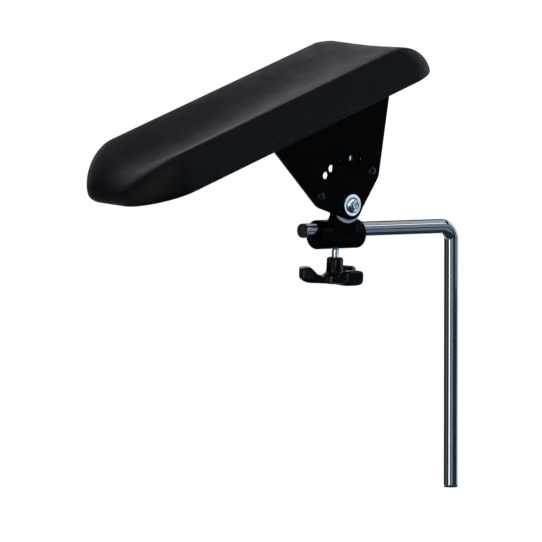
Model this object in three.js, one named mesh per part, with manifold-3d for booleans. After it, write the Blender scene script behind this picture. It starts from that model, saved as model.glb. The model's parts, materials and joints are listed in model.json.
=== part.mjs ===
// Forearm rest: a moulded trough-shaped pad on a tilting steel bracket, held by a
// clamp that slides and turns on a bent round rod. Millimetres, +Z up, origin at the
// centre of the rod's lower end, +X from the clamp towards the upright leg.
import * as THREE from "three";
import { mergeVertices } from "three/addons/utils/BufferGeometryUtils.js";
import Module from "manifold-3d";

const wasm = await Module();
wasm.setup();

// ---------------------------------------------------------------- dimensions
const GAP = 0.2; // between pieces that touch
const ROUND = 28; // sides of a turned piece

// support rod
const ROD_RADIUS = 6.35;
const LEG_HEIGHT = 233; // lower end to the axis of the level arm
const CLAMP_REACH = 137.6; // leg axis to the middle of the clamp
const ARM_LENGTH = 178; // leg axis to the free end of the arm
const BEND_RADIUS = 13;
const ROD_BORE = 4.35;
const PLUG_CAP = 1.2;
const PLUG_DEPTH = 9;

// clamp
const CLAMP_ROLL = 4; // degrees the clamp is turned on the rod, towards -Y
const SLEEVE_RADIUS = 12.7;
const SLEEVE_LENGTH = 49;
const SLEEVE_DROP = 3.85; // sleeve axis below the rod axis
const SLEEVE_CHAMFER = 1;
const LINER_INNER = 6.45;
const LINER_OUTER = 6.95;
const LINER_SLIT = 2;
const LINER_INSET = 4;
const BORE_RADIUS = 7.1;
const LUG_FRONT = -12.7;
const LUG_THICKNESS = 8.5;
const LUG_HALF_WIDTH = 13;
const LUG_CORNER = 8;
const LUG_ABOVE_LOCK = 8;
const LUG_FILLET = 6;
const PIVOT_HEIGHT = 23.1; // pivot axis above the rod axis

// tilt bracket
const TILT = 20.15; // degrees, far end of the pad up
const PLATE = 2.5;
const INDEX_RADIUS = 40.4;
const INDEX_ANGLES = [60, 72, 84, 96, 108, 120];
const LOCKED_ANGLE = 72; // the index hole that faces the lock screw
const INDEX_HOLE = 3.25;
const LOCK_TRAVEL = 3; // drawn backed out by this much
const STOP_OFFSET = [30.7, 19.4];
const WEB_SHOULDER = [37, 12]; // half width and height of the lower corners
const WEB_TOP_HALF = 73;
const WEB_END_RADIUS = 13;
const FLANGE_TOP = 86.5;
const FLANGE_WIDTH = 45.5;
const BEND_INSIDE = 2.5;
const SCREW_SPACING_U = 100;
const SCREW_SPACING_W = 24;

// pad
const PAD_LENGTH = 329;
const PAD_WIDTH = 120;
const PAD_HEIGHT = 35;
const PAD_MIDDLE_U = -67.3; // middle of the pad along its length, from the pivot
const PAD_BOTTOM = FLANGE_TOP + 0.3;
const CHANNEL_DEPTH = 11;
const RIDGE_INSET = 17; // crest line of each ridge from the side
const BOARD = [274, 84, 9];
const POCKET_CLEARANCE = 0.3;

// fasteners
const M8 = { shank: 4, button: 7, head: 4.4, socket: 5, hexAcross: 13, nut: 8, washer: 1.6 };
const M6 = { shank: 3, hexAcross: 10, head: 4, washer: 1.4 };
const HOLE_CLEARANCE = 0.18;

// knob
const KNOB_TOP = -23.9;
const KNOB_BOTTOM = -46.4;
const KNOB_HUB_RADIUS = 7.2;
const KNOB_REACH = 30;
const KNOB_ARM_WIDTH = 18;
const KNOB_FIRST_ARM = 27; // degrees from +X
const KNOB_ARMS = 3;

// ---------------------------------------------------------------- helpers
const rad = THREE.MathUtils.degToRad;

const finish = {
  chrome: { color: 0xc9cdd2, roughness: 0.08, metalness: 1 },
  zinc: { color: 0xaeb9c4, roughness: 0.35, metalness: 1 },
  blackPaint: { color: 0x08090b, roughness: 0.4, metalness: 0 },
  blackPlastic: { color: 0x0b0c0d, roughness: 0.55, metalness: 0 },
  foam: { color: 0x0c0d0f, roughness: 0.6, metalness: 0 },
  plywood: { color: 0x9a7648, roughness: 0.8, metalness: 0 },
  nylon: { color: 0xb4aaa8, roughness: 0.6, metalness: 0 },
  brass: { color: 0xb08a45, roughness: 0.4, metalness: 1 },
};

// A closed geometry as a solid.
function solid(geometry) {
  const bare = geometry.index ? geometry.toNonIndexed() : geometry.clone();
  bare.deleteAttribute("normal");
  bare.deleteAttribute("uv");
  const merged = mergeVertices(bare, 1e-4);
  return new wasm.Manifold(
    new wasm.Mesh({
      numProp: 3,
      vertProperties: merged.attributes.position.array,
      triVerts: new Uint32Array(merged.index.array),
    }),
  );
}

// A solid as a named mesh.
function piece(name, body, look) {
  const mesh = body.getMesh();
  const geometry = new THREE.BufferGeometry();
  geometry.setAttribute("position", new THREE.BufferAttribute(mesh.vertProperties, 3));
  geometry.setIndex(new THREE.BufferAttribute(mesh.triVerts, 1));
  geometry.computeVertexNormals();
  const made = new THREE.Mesh(geometry, new THREE.MeshStandardMaterial(finish[look]));
  made.name = name;
  return made;
}

// A cylinder from one end to the other along an axis: "x", "y" or "z".
function rod(axis, radius, from, to, across = [0, 0], sides = ROUND) {
  const geometry = new THREE.CylinderGeometry(radius, radius, to - from, sides);
  const middle = (from + to) / 2;
  if (axis === "x") {
    geometry.rotateZ(-Math.PI / 2).translate(middle, across[0], across[1]);
  } else if (axis === "y") {
    geometry.translate(across[0], middle, across[1]);
  } else {
    geometry.rotateX(Math.PI / 2).translate(across[0], across[1], middle);
  }
  return solid(geometry);
}

// A flat ring along Y, centred on (x, z).
function ringY(outer, inner, from, to, x = 0, z = 0) {
  const hole = rod("y", inner, from - 1, to + 1, [x, z]);
  return rod("y", outer, from, to, [x, z]).subtract(hole);
}

// A flat ring along Z, centred on (x, y).
function ringZ(outer, inner, from, to, x = 0, y = 0) {
  const hole = rod("z", inner, from - 1, to + 1, [x, y]);
  return rod("z", outer, from, to, [x, y]).subtract(hole);
}

// A hexagonal prism along Y.
function hexY(across, from, to, x = 0, z = 0) {
  return rod("y", across / Math.sqrt(3), from, to, [x, z], 6);
}

// A shape drawn in X and Z, thick along Y.
function slabXZ(shape, from, to) {
  const geometry = new THREE.ExtrudeGeometry(shape, {
    depth: to - from,
    bevelEnabled: false,
    curveSegments: 12,
  });
  return solid(geometry.rotateX(Math.PI / 2).translate(0, to, 0));
}

// A shape drawn in Y and Z, long along X.
function slabYZ(shape, from, to) {
  const geometry = new THREE.ExtrudeGeometry(shape, {
    depth: to - from,
    bevelEnabled: false,
    curveSegments: 10,
  });
  const toYZ = new THREE.Matrix4().makeBasis(
    new THREE.Vector3(0, 1, 0),
    new THREE.Vector3(0, 0, 1),
    new THREE.Vector3(1, 0, 0),
  );
  return solid(geometry.applyMatrix4(toYZ).translate(from, 0, 0));
}

// A shape drawn in X and Y, thick along Z.
function slabXY(shape, from, to) {
  const geometry = new THREE.ExtrudeGeometry(shape, {
    depth: to - from,
    bevelEnabled: false,
    curveSegments: 12,
  });
  return solid(geometry.translate(0, 0, from));
}

// A rectangle between two corners.
function rectangle(left, right, low, high) {
  const shape = new THREE.Shape();
  shape.moveTo(left, low);
  shape.lineTo(right, low);
  shape.lineTo(right, high);
  shape.lineTo(left, high);
  return shape;
}

// A turned profile of [radius, height] points, with its axis along Y.
function turnedY(profile, x = 0, z = 0) {
  const points = profile.map(([r, y]) => new THREE.Vector2(r, y));
  const geometry = new THREE.LatheGeometry(points, ROUND);
  return solid(geometry.translate(x, 0, z));
}

// ---------------------------------------------------------------- support rod
// Up the leg, round the bend and along the arm, with one step for each straight run.
class BentRod extends THREE.Curve {
  constructor(bendSteps) {
    super();
    this.steps = bendSteps + 2;
  }

  getPoint(t, target = new THREE.Vector3()) {
    const stage = t * this.steps;
    const corner = new THREE.Vector3(-BEND_RADIUS, 0, LEG_HEIGHT - BEND_RADIUS);
    const start = PLUG_CAP + GAP;
    if (stage <= 1) return target.set(0, 0, start + (corner.z - start) * stage);
    if (stage >= this.steps - 1) {
      const run = (ARM_LENGTH - BEND_RADIUS - start) * (stage - this.steps + 1);
      return target.set(corner.x - run, 0, LEG_HEIGHT);
    }
    const angle = ((stage - 1) / (this.steps - 2)) * (Math.PI / 2);
    return target.set(
      corner.x + BEND_RADIUS * Math.cos(angle),
      0,
      corner.z + BEND_RADIUS * Math.sin(angle),
    );
  }

  getPointAt(t, target) {
    return this.getPoint(t, target);
  }

  getTangentAt(t, target) {
    return this.getTangent(t, target);
  }

  getSpacedPoints(divisions) {
    return this.getPoints(divisions);
  }
}

function supportRod() {
  const path = new BentRod(10);
  const section = new THREE.Shape().absarc(0, 0, ROD_RADIUS, 0, 2 * Math.PI);
  section.holes.push(new THREE.Path().absarc(0, 0, ROD_BORE, 0, 2 * Math.PI, true));
  const geometry = new THREE.ExtrudeGeometry(section, {
    steps: path.steps,
    curveSegments: ROUND / 2,
    extrudePath: path,
  });
  return piece("support_rod", solid(geometry), "chrome");
}

// A cap over the tube's end with a stem inside it, from the cap's face at 0 upwards.
function endPlug() {
  const cap = rod("z", ROD_RADIUS - 0.2, 0, PLUG_CAP);
  return cap.add(rod("z", ROD_BORE - GAP, PLUG_CAP - 0.5, PLUG_CAP + PLUG_DEPTH));
}

function rodPlugs() {
  const atArm = endPlug().rotate([0, 90, 0]).translate([-ARM_LENGTH, 0, LEG_HEIGHT]);
  return [
    piece("rod_foot_plug", endPlug(), "blackPlastic"),
    piece("rod_arm_plug", atArm, "blackPlastic"),
  ];
}

// ---------------------------------------------------------------- clamp
const LUG_BACK = LUG_FRONT + LUG_THICKNESS;
const LOCK_DIRECTION = rad(LOCKED_ANGLE + TILT);
const LOCK_X = INDEX_RADIUS * Math.cos(LOCK_DIRECTION);
const LOCK_Z = PIVOT_HEIGHT + INDEX_RADIUS * Math.sin(LOCK_DIRECTION);
const SLEEVE_BOTTOM = -SLEEVE_DROP - SLEEVE_RADIUS;

function clampBody() {
  const half = SLEEVE_LENGTH / 2;
  const edge = SLEEVE_RADIUS - SLEEVE_CHAMFER;
  const sleeve = solid(
    new THREE.LatheGeometry(
      [
        [0, -half],
        [edge, -half],
        [SLEEVE_RADIUS, SLEEVE_CHAMFER - half],
        [SLEEVE_RADIUS, half - SLEEVE_CHAMFER],
        [edge, half],
        [0, half],
      ].map(([r, x]) => new THREE.Vector2(r, x)),
      2 * ROUND,
    )
      .rotateZ(-Math.PI / 2)
      .translate(0, 0, -SLEEVE_DROP),
  );

  const outline = new THREE.Shape();
  const lugTop = LOCK_Z + LUG_ABOVE_LOCK;
  const turnX = LUG_HALF_WIDTH - LUG_CORNER;
  outline.moveTo(-LUG_HALF_WIDTH, -SLEEVE_DROP);
  outline.lineTo(LUG_HALF_WIDTH, -SLEEVE_DROP);
  outline.absarc(turnX, lugTop - LUG_CORNER, LUG_CORNER, 0, Math.PI / 2, false);
  outline.absarc(-turnX, lugTop - LUG_CORNER, LUG_CORNER, Math.PI / 2, Math.PI, false);
  const lug = slabXZ(outline, LUG_FRONT, LUG_BACK);

  // Fillets from the lug's sides to the top of the sleeve.
  let body = sleeve.add(lug);
  const filletFoot = 4;
  const filletTop = SLEEVE_RADIUS - SLEEVE_DROP + LUG_FILLET - 1;
  for (const side of [-1, 1]) {
    const fillet = new THREE.Shape();
    const inner = side * (LUG_HALF_WIDTH - 1);
    const outer = side * (LUG_HALF_WIDTH + LUG_FILLET);
    const turn = side > 0;
    fillet.moveTo(inner, filletFoot);
    fillet.lineTo(outer, filletFoot);
    fillet.lineTo(outer, filletTop - LUG_FILLET);
    fillet.absarc(
      outer,
      filletTop,
      LUG_FILLET,
      -Math.PI / 2,
      turn ? -Math.PI : 0,
      turn,
    );
    fillet.lineTo(inner, filletTop);
    body = body.add(slabXZ(fillet, LUG_FRONT + 3.5, LUG_BACK));
  }

  const cuts = [
    rod("x", BORE_RADIUS, -half - 1, half + 1),
    rod("z", M6.shank + HOLE_CLEARANCE, SLEEVE_BOTTOM - 1, 0),
    rod("y", M8.shank + HOLE_CLEARANCE, LUG_FRONT - 1, LUG_BACK + 1, [0, PIVOT_HEIGHT]),
    rod("y", M6.shank + HOLE_CLEARANCE, LUG_FRONT - 1, LUG_BACK + 1, [LOCK_X, LOCK_Z]),
  ];
  body = cuts.reduce((left, cut) => left.subtract(cut), body);
  return piece("clamp_body", body, "blackPaint");
}

function sleeveLiner() {
  const half = SLEEVE_LENGTH / 2 - LINER_INSET;
  const tube = rod("x", LINER_OUTER, -half, half).subtract(
    rod("x", LINER_INNER, -half - 1, half + 1),
  );
  const gap = rectangle(-LINER_SLIT / 2, LINER_SLIT / 2, 0, LINER_OUTER + 1);
  const slit = slabYZ(gap, -half - 1, half + 1);
  return piece("sleeve_liner", tube.subtract(slit), "nylon");
}

// Thicknesses along Y at the pivot, from the lug outwards.
const DISC_THICKNESS = 2;
const DISC_RADIUS = 16;
const DISC_BACK = LUG_FRONT - GAP;
const WEB_BACK = DISC_BACK - DISC_THICKNESS - GAP;
const WEB_FRONT = WEB_BACK - PLATE;
const WASHER_BACK = WEB_FRONT - GAP;
const HEAD_BACK = WASHER_BACK - M8.washer - GAP;

function pivotPieces() {
  const boltHole = M8.shank + HOLE_CLEARANCE;
  const backWasher = LUG_BACK + GAP;
  const nutFront = backWasher + M8.washer + GAP;
  const boltEnd = nutFront + M8.nut + 1.5;
  const at = [0, PIVOT_HEIGHT];
  const face = HEAD_BACK - M8.head;
  const dome = [
    [0, face],
    [0.5 * M8.button, face],
    [0.72 * M8.button, face + 0.2 * M8.head],
    [0.9 * M8.button, face + 0.5 * M8.head],
    [M8.button, face + 0.85 * M8.head],
    [M8.button, HEAD_BACK],
    [M8.shank, HEAD_BACK],
    [M8.shank, boltEnd],
    [0, boltEnd],
  ];
  const socket = hexY(M8.socket, face - 1, face + 0.6 * M8.head, ...at);
  const bolt = turnedY(dome, ...at).subtract(socket);
  const nut = hexY(M8.hexAcross, nutFront, nutFront + M8.nut, ...at).subtract(
    rod("y", boltHole, nutFront - 1, boltEnd, at),
  );
  return [
    piece("pivot_bolt", bolt, "zinc"),
    piece(
      "pivot_washer_front",
      ringY(9.5, boltHole, WASHER_BACK - M8.washer, WASHER_BACK, ...at),
      "zinc",
    ),
    piece(
      "pivot_friction_disc",
      ringY(DISC_RADIUS, boltHole, DISC_BACK - DISC_THICKNESS, DISC_BACK, ...at),
      "nylon",
    ),
    piece(
      "pivot_washer_back",
      ringY(8, boltHole, backWasher, backWasher + M8.washer, ...at),
      "zinc",
    ),
    piece("pivot_lock_nut", nut, "zinc"),
  ];
}

function lockPieces() {
  const at = [LOCK_X, LOCK_Z];
  const washerFront = LUG_BACK + LOCK_TRAVEL + GAP;
  const headFront = washerFront + M6.washer + GAP;
  const tip = WEB_BACK + 0.3;
  const screw = hexY(M6.hexAcross, headFront, headFront + M6.head, ...at).add(
    rod("y", M6.shank, tip, headFront + 1, at),
  );
  return {
    screw: piece("lock_screw", screw, "zinc"),
    washer: piece(
      "lock_screw_washer",
      ringY(5.5, M6.shank + HOLE_CLEARANCE, washerFront, washerFront + M6.washer, ...at),
      "zinc",
    ),
  };
}

// ---------------------------------------------------------------- clamp knob
const SLUG_TOP = -LINER_OUTER - GAP;
const SLUG_LENGTH = 3.5;
const STUD_TOP = SLUG_TOP - SLUG_LENGTH - GAP;
const STUD_SOCKET_DEPTH = 12;

function knobArm() {
  const side = new THREE.Shape();
  side.moveTo(0, KNOB_BOTTOM);
  side.lineTo(KNOB_REACH - 7, KNOB_BOTTOM);
  side.lineTo(KNOB_REACH, KNOB_BOTTOM + 4);
  side.lineTo(KNOB_REACH, KNOB_BOTTOM + 11.5);
  side.lineTo(KNOB_REACH - 4, KNOB_BOTTOM + 12.6);
  side.lineTo(KNOB_REACH - 8, KNOB_BOTTOM + 12);
  side.quadraticCurveTo(KNOB_REACH - 17, KNOB_BOTTOM + 5, 9, KNOB_BOTTOM + 6.4);
  side.lineTo(0, KNOB_BOTTOM + 9);
  return slabXZ(side, -KNOB_ARM_WIDTH / 2, KNOB_ARM_WIDTH / 2);
}

function knobPieces() {
  let body = rod("z", KNOB_HUB_RADIUS, KNOB_BOTTOM, KNOB_TOP);
  for (let arm = 0; arm < KNOB_ARMS; arm += 1) {
    const turned = knobArm().rotate([0, 0, KNOB_FIRST_ARM + (360 / KNOB_ARMS) * arm]);
    body = body.add(turned);
  }
  const socket = KNOB_TOP - STUD_SOCKET_DEPTH;
  body = body.subtract(rod("z", M6.shank + HOLE_CLEARANCE, socket, KNOB_TOP + 1));
  return {
    knob: [
      piece("clamp_knob", body, "blackPlastic"),
      piece("clamp_knob_stud", rod("z", M6.shank, socket + GAP, STUD_TOP), "zinc"),
    ],
    slug: piece(
      "clamp_pressure_slug",
      rod("z", M6.shank - GAP, SLUG_TOP - SLUG_LENGTH, SLUG_TOP),
      "brass",
    ),
  };
}

// ---------------------------------------------------------------- tilt bracket
const FLANGE_BOTTOM = FLANGE_TOP - PLATE;
const PAD_MIDDLE_W = WEB_FRONT + FLANGE_WIDTH / 2;
const SCREW_PLACES = [-1, 1].flatMap((alongU) =>
  [-1, 1].map((alongW) => [
    (alongU * SCREW_SPACING_U) / 2,
    PAD_MIDDLE_W + (alongW * SCREW_SPACING_W) / 2,
  ]),
);
const SCREW_HOLE = M6.shank + HOLE_CLEARANCE;

function bracketOutline() {
  // Straight sides from the flange to the shoulders, then tangents to the round end.
  const [shoulder, height] = WEB_SHOULDER;
  const reach = Math.hypot(shoulder, height);
  const tangent = Math.atan2(height, shoulder) - Math.acos(WEB_END_RADIUS / reach);
  const outline = new THREE.Shape();
  outline.moveTo(WEB_TOP_HALF, FLANGE_TOP + 1);
  outline.lineTo(-WEB_TOP_HALF, FLANGE_TOP + 1);
  outline.lineTo(-WEB_TOP_HALF, FLANGE_BOTTOM);
  outline.lineTo(-shoulder - 1.2, height + 2.5);
  outline.quadraticCurveTo(-shoulder, height, -shoulder + 2.4, height - 1.9);
  outline.absarc(0, 0, WEB_END_RADIUS, Math.PI - tangent, 2 * Math.PI + tangent, false);
  outline.lineTo(shoulder - 2.4, height - 1.9);
  outline.quadraticCurveTo(shoulder, height, shoulder + 1.2, height + 2.5);
  outline.lineTo(WEB_TOP_HALF, FLANGE_BOTTOM);
  return outline;
}

function bentProfile() {
  // The web hangs down at the front, the flange runs back from it.
  const farEdge = WEB_FRONT + FLANGE_WIDTH;
  const outside = BEND_INSIDE + PLATE;
  const profile = new THREE.Shape();
  const bendY = WEB_BACK + BEND_INSIDE;
  const bendZ = FLANGE_BOTTOM - BEND_INSIDE;
  profile.moveTo(WEB_FRONT, -WEB_END_RADIUS - 1);
  profile.lineTo(WEB_BACK, -WEB_END_RADIUS - 1);
  profile.lineTo(WEB_BACK, bendZ);
  profile.absarc(bendY, bendZ, BEND_INSIDE, Math.PI, Math.PI / 2, true);
  profile.lineTo(farEdge, FLANGE_BOTTOM);
  profile.lineTo(farEdge, FLANGE_TOP);
  profile.lineTo(bendY, FLANGE_TOP);
  profile.absarc(bendY, bendZ, outside, Math.PI / 2, Math.PI, false);
  return profile;
}

function padBracket() {
  const sheet = slabYZ(bentProfile(), -WEB_TOP_HALF, WEB_TOP_HALF);
  const through = [WEB_FRONT - 1, WEB_FRONT + FLANGE_WIDTH + 1];
  let body = sheet.intersect(slabXZ(bracketOutline(), ...through));
  const holes = [[0, 0, M8.shank + HOLE_CLEARANCE]];
  for (const angle of INDEX_ANGLES) {
    const [u, v] = [Math.cos(rad(angle)), Math.sin(rad(angle))];
    holes.push([INDEX_RADIUS * u, INDEX_RADIUS * v, INDEX_HOLE]);
  }
  for (const side of [-1, 1]) {
    holes.push([side * STOP_OFFSET[0], STOP_OFFSET[1], STUD_NECK + HOLE_CLEARANCE]);
  }
  for (const [u, v, radius] of holes) {
    body = body.subtract(rod("y", radius, WEB_FRONT - 1, WEB_BACK + 1, [u, v]));
  }
  for (const place of SCREW_PLACES) {
    body = body.subtract(rod("z", SCREW_HOLE, FLANGE_BOTTOM - 1, FLANGE_TOP + 1, place));
  }
  return piece("pad_bracket", body, "blackPaint");
}

const STUD_NECK = 2;
const STUD_HEAD = 4.2;
const STUD_PIN = 2.4;

function stopStud(name, side) {
  // A riveted stud: low head in front of the web, long pin behind it.
  const front = WEB_FRONT - GAP;
  const back = WEB_BACK + GAP;
  const profile = [
    [0, front - 1.8],
    [STUD_HEAD * 0.6, front - 1.6],
    [STUD_HEAD, front - 0.6],
    [STUD_HEAD, front],
    [STUD_NECK, front],
    [STUD_NECK, back],
    [STUD_PIN, back],
    [STUD_PIN, back + 8],
    [0, back + 8],
  ];
  return piece(name, turnedY(profile, side * STOP_OFFSET[0], STOP_OFFSET[1]), "blackPaint");
}

function padScrews() {
  const pieces = [];
  const washer = 1.2;
  const headTop = FLANGE_BOTTOM - 2 * GAP - washer;
  const boardTop = PAD_BOTTOM + 0.1 + BOARD[2];
  SCREW_PLACES.forEach((place, index) => {
    const number = index + 1;
    const head = rod("z", 5.5, headTop - 3.6, headTop, place);
    const shank = rod("z", M6.shank, headTop - 1, boardTop + 1, place);
    pieces.push(piece(`pad_screw_${number}`, head.add(shank), "zinc"));
    const ring = ringZ(6, SCREW_HOLE, headTop + GAP, headTop + GAP + washer, ...place);
    pieces.push(piece(`pad_screw_washer_${number}`, ring, "zinc"));
    const barrel = ringZ(4, SCREW_HOLE, boardTop - 7.5, boardTop + 1.3, ...place);
    const flange = ringZ(9.5, SCREW_HOLE, boardTop + GAP, boardTop + 1.3, ...place);
    pieces.push(piece(`pad_tee_nut_${number}`, barrel.add(flange), "zinc"));
  });
  return pieces;
}

// ---------------------------------------------------------------- pad
function coreBoard() {
  const [length, width, thickness] = BOARD;
  const bottom = PAD_BOTTOM + 0.1;
  const outline = roundedBox(length, width, 20);
  let body = slabXY(outline, bottom, bottom + thickness).translate([
    PAD_MIDDLE_U,
    PAD_MIDDLE_W,
    0,
  ]);
  for (const place of SCREW_PLACES) {
    body = body.subtract(rod("z", 4 + GAP, bottom - 1, bottom + thickness + 1, place));
  }
  return piece("pad_core_board", body, "plywood");
}

function roundedBox(length, width, corner) {
  const [x, y] = [length / 2, width / 2];
  const shape = new THREE.Shape();
  shape.moveTo(-x + corner, -y);
  shape.lineTo(x - corner, -y);
  shape.absarc(x - corner, -y + corner, corner, -Math.PI / 2, 0, false);
  shape.absarc(x - corner, y - corner, corner, 0, Math.PI / 2, false);
  shape.absarc(-x + corner, y - corner, corner, Math.PI / 2, Math.PI, false);
  shape.absarc(-x + corner, -y + corner, corner, Math.PI, 1.5 * Math.PI, false);
  return shape;
}

// Plan, side and cross outlines of the pad; each is extruded and the three meet.
function padPlan() {
  const [x, y] = [PAD_LENGTH / 2, PAD_WIDTH / 2];
  const low = [43, 41]; // rounding of the low end's corners, along and across
  const high = [23, 13];
  const shape = new THREE.Shape();
  shape.moveTo(-x + low[0], -y);
  shape.lineTo(x - high[0], -y);
  shape.absellipse(x - high[0], -y + high[1], ...high, -Math.PI / 2, 0, false);
  shape.absellipse(x - high[0], y - high[1], ...high, 0, Math.PI / 2, false);
  shape.absellipse(-x + low[0], y - low[1], ...low, Math.PI / 2, Math.PI, false);
  shape.absellipse(-x + low[0], -y + low[1], ...low, Math.PI, 1.5 * Math.PI, false);
  return shape;
}

const SKIRT = 4.5; // widest line of the pad above its underside

function padSide() {
  const x = PAD_LENGTH / 2;
  const crown = PAD_HEIGHT - SKIRT;
  const [lowNose, highNose] = [34, 37];
  const shape = new THREE.Shape();
  shape.moveTo(-x + 5, 0);
  shape.lineTo(x - 3, 0);
  shape.absellipse(x - 3, SKIRT, 3, SKIRT, -Math.PI / 2, 0, false);
  shape.absellipse(x - highNose, SKIRT, highNose, crown, 0, Math.PI / 2, false);
  shape.absellipse(-x + lowNose, SKIRT, lowNose, crown, Math.PI / 2, Math.PI, false);
  shape.absellipse(-x + 5, SKIRT, 5, SKIRT, Math.PI, 1.5 * Math.PI, false);
  return shape;
}

function padCross() {
  const y = PAD_WIDTH / 2;
  const crest = y - RIDGE_INSET;
  const floor = PAD_HEIGHT - CHANNEL_DEPTH;
  const crown = PAD_HEIGHT - SKIRT;
  const shape = new THREE.Shape();
  shape.moveTo(-y + 10, 0);
  shape.lineTo(y - 10, 0);
  shape.absellipse(y - 10, SKIRT, 10, SKIRT, -Math.PI / 2, 0, false);
  shape.absellipse(crest, SKIRT, RIDGE_INSET, crown, 0, Math.PI / 2, false);
  shape.bezierCurveTo(crest * 0.6, PAD_HEIGHT, crest * 0.45, floor, 0, floor);
  shape.bezierCurveTo(-crest * 0.45, floor, -crest * 0.6, PAD_HEIGHT, -crest, PAD_HEIGHT);
  shape.absellipse(-crest, SKIRT, RIDGE_INSET, crown, Math.PI / 2, Math.PI, false);
  shape.absellipse(-y + 10, SKIRT, 10, SKIRT, Math.PI, 1.5 * Math.PI, false);
  return shape;
}

function padFoam() {
  const [length, width, thickness] = BOARD;
  const reach = PAD_LENGTH;
  const pocketTop = thickness + 2;
  const pocket = roundedBox(
    length + 2 * POCKET_CLEARANCE,
    width + 2 * POCKET_CLEARANCE,
    20 + POCKET_CLEARANCE,
  );
  const body = slabXY(padPlan(), -1, PAD_HEIGHT + 1)
    .intersect(slabXZ(padSide(), -reach, reach))
    .intersect(slabYZ(padCross(), -reach, reach))
    .subtract(slabXY(pocket, -1, pocketTop))
    .translate([PAD_MIDDLE_U, PAD_MIDDLE_W, PAD_BOTTOM]);
  return piece("pad_foam", body, "foam");
}

// ---------------------------------------------------------------- assembly
const armrest = new THREE.Group();
armrest.add(supportRod(), ...rodPlugs());

const clamp = new THREE.Group();
clamp.position.set(-CLAMP_REACH, 0, LEG_HEIGHT);
clamp.rotation.x = rad(CLAMP_ROLL);
armrest.add(clamp);

const knob = knobPieces();
const lock = lockPieces();
clamp.add(clampBody(), sleeveLiner(), ...pivotPieces());
clamp.add(lock.screw, lock.washer, ...knob.knob, knob.slug);

const padAndBracket = new THREE.Group();
padAndBracket.position.set(0, 0, PIVOT_HEIGHT);
padAndBracket.rotation.y = rad(-TILT);
clamp.add(padAndBracket);

padAndBracket.add(padBracket());
padAndBracket.add(stopStud("stop_stud_low_side", -1), stopStud("stop_stud_high_side", 1));
padAndBracket.add(...padScrews(), coreBoard(), padFoam());

export default armrest;
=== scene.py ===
"""Forearm rest: a moulded foam pad on a tilting bracket, clamped to a bent chromed tube."""

import json
import math

import bmesh
import bpy
from mathutils import Matrix, Vector

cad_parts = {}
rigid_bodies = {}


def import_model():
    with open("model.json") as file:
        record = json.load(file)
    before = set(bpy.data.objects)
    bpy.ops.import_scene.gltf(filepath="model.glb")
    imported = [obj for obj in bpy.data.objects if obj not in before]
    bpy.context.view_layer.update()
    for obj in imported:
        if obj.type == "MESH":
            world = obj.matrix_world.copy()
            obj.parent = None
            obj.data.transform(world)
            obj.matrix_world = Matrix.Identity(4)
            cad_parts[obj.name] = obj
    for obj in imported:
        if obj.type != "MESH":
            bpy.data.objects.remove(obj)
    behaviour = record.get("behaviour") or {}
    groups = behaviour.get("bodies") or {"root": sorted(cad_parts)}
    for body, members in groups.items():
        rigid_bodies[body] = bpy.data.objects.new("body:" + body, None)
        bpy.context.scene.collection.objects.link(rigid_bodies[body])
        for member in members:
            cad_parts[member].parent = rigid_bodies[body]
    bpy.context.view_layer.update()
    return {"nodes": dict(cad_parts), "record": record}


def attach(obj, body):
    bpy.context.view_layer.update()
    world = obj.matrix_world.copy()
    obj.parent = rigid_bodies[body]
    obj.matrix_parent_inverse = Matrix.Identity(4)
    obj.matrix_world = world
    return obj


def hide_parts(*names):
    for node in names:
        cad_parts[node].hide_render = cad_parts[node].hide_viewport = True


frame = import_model()

# -------- the frame
JOINTS = {joint["name"]: joint for joint in frame["record"]["behaviour"]["joints"]}
MM = Matrix.Scale(0.001, 4)
TILT = math.radians(20.15)


def axes_at(place, x, y, z):
    """The matrix of a set of axes at a place in the row frame."""
    turned = Matrix((x, y, z)).transposed().to_4x4()
    return Matrix.Translation(place) @ turned


def at(x, y, z):
    """A shift in millimetres."""
    return Matrix.Translation((x / 1000, y / 1000, z / 1000))


CLAMP_CENTRE = Vector(JOINTS["clamp_turn"]["pos_m"])
CLAMP = axes_at(
    CLAMP_CENTRE,
    Vector((1, 0, 0)),
    -Vector(JOINTS["tilt"]["axis"]),
    Vector(JOINTS["clamp_screw_travel"]["axis"]),
)
PIVOT_HEIGHT = (Vector(JOINTS["tilt"]["pos_m"]) - CLAMP_CENTRE).length * 1000
PIVOT = CLAMP @ at(0, 0, PIVOT_HEIGHT)
PLATE = PIVOT @ Matrix.Rotation(-TILT, 4, "Y")
ROW = Matrix.Identity(4)
TO_X = Matrix.Rotation(math.pi / 2, 4, "Y")
TO_Y = Matrix.Rotation(-math.pi / 2, 4, "X")
TO_BACK = Matrix.Rotation(math.pi / 2, 4, "X")


# -------- dimensions, mm
ROD_RADIUS = 6.35
ROD_BORE = 4.35
BEND_RADIUS = 13
ARM_LENGTH = 178
LEG_HEIGHT = CLAMP_CENTRE.z * 1000
PLUG_CAP = 1.2
GAP = 0.2  # left between neighbouring pieces

SLEEVE_HALF = 24.5
SLEEVE_RADIUS = 12.7
SLEEVE_DROP = 3.85
SLEEVE_BORE = 7.1
LUG_FRONT = -12.7
LUG_BACK = -4.2
LUG_HALF_WIDTH = 13
LUG_CORNER = 8
LUG_ABOVE_LOCK = 8
INDEX_RADIUS = 40.4
INDEX_ANGLES = (60, 72, 84, 96, 108, 120)
INDEX_HOLE = 3.25
LOCKED_ANGLE = 72  # of the index hole that faces the lock screw
LOCK_ANGLE = math.radians(LOCKED_ANGLE) + TILT
LOCK_TRAVEL = 3  # the lock screw is drawn backed out by this much
LOCK_X = INDEX_RADIUS * math.cos(LOCK_ANGLE)
LOCK_Z = PIVOT_HEIGHT + INDEX_RADIUS * math.sin(LOCK_ANGLE)

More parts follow.
